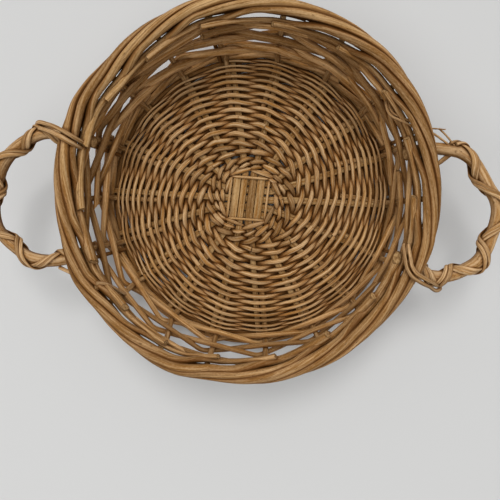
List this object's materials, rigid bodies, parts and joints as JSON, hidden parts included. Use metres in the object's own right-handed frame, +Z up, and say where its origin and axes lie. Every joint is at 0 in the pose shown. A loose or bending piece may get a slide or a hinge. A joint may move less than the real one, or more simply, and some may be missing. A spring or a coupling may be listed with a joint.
{
  "type": "hanging wall basket",
  "caption": "Round shallow woven willow basket with an open twined side, a rolled rope-like border and wound loop handles on opposite sides, for a wall or a table.",
  "frame": {"origin": "under the centre of the base, on the plane the basket stands on", "axes": "+Z up out of the mouth, handles to +X and -X, +Y towards the top of the picture"},
  "size_m": [0.425, 0.3092, 0.0858],
  "materials": {
    "willow_pale": "peeled, matt",
    "willow_honey": "peeled, satin",
    "willow_tan": "peeled, satin",
    "willow_warm": "peeled, satin"
  },
  "bodies": {
    "root": {"base_stick_lower_1": "willow_pale", "base_stick_lower_2": "willow_pale", "base_stick_lower_3": "willow_pale", "base_stick_lower_4": "willow_pale", "base_stick_lower_5": "willow_pale", "base_stick_upper_1": "willow_pale", "base_stick_upper_2": "willow_pale", "base_stick_upper_3": "willow_pale", "base_stick_upper_4": "willow_pale", "base_weaver_a": "willow_honey", "base_weaver_b": "willow_pale", "fitch_row_1_rod_a": "willow_honey", "fitch_row_1_rod_b": "willow_pale", "fitch_row_2_rod_a": "willow_honey", "fitch_row_2_rod_b": "willow_pale", "fitch_row_3_rod_a": "willow_honey", "fitch_row_3_rod_b": "willow_pale", "foot_rod": "willow_tan", "handle_core_left": "willow_warm", "handle_core_right": "willow_warm", "handle_wrap_left_over_1": "willow_warm", "handle_wrap_left_over_2": "willow_warm", "handle_wrap_left_under_1": "willow_warm", "handle_wrap_left_under_2": "willow_warm", "handle_wrap_right_over_1": "willow_warm", "handle_wrap_right_over_2": "willow_warm", "handle_wrap_right_under_1": "willow_warm", "handle_wrap_right_under_2": "willow_warm", "stake_1": "willow_honey", "stake_10": "willow_honey", "stake_11": "willow_honey", "stake_12": "willow_honey", "stake_13": "willow_honey", "stake_14": "willow_honey", "stake_15": "willow_honey", "stake_16": "willow_honey", "stake_17": "willow_honey", "stake_18": "willow_honey", "stake_2": "willow_honey", "stake_3": "willow_honey", "stake_4": "willow_honey", "stake_5": "willow_honey", "stake_6": "willow_honey", "stake_7": "willow_honey", "stake_8": "willow_honey", "stake_9": "willow_honey", "upsett_rod_a": "willow_tan", "upsett_rod_b": "willow_tan"}
  },
  "joints": []
}
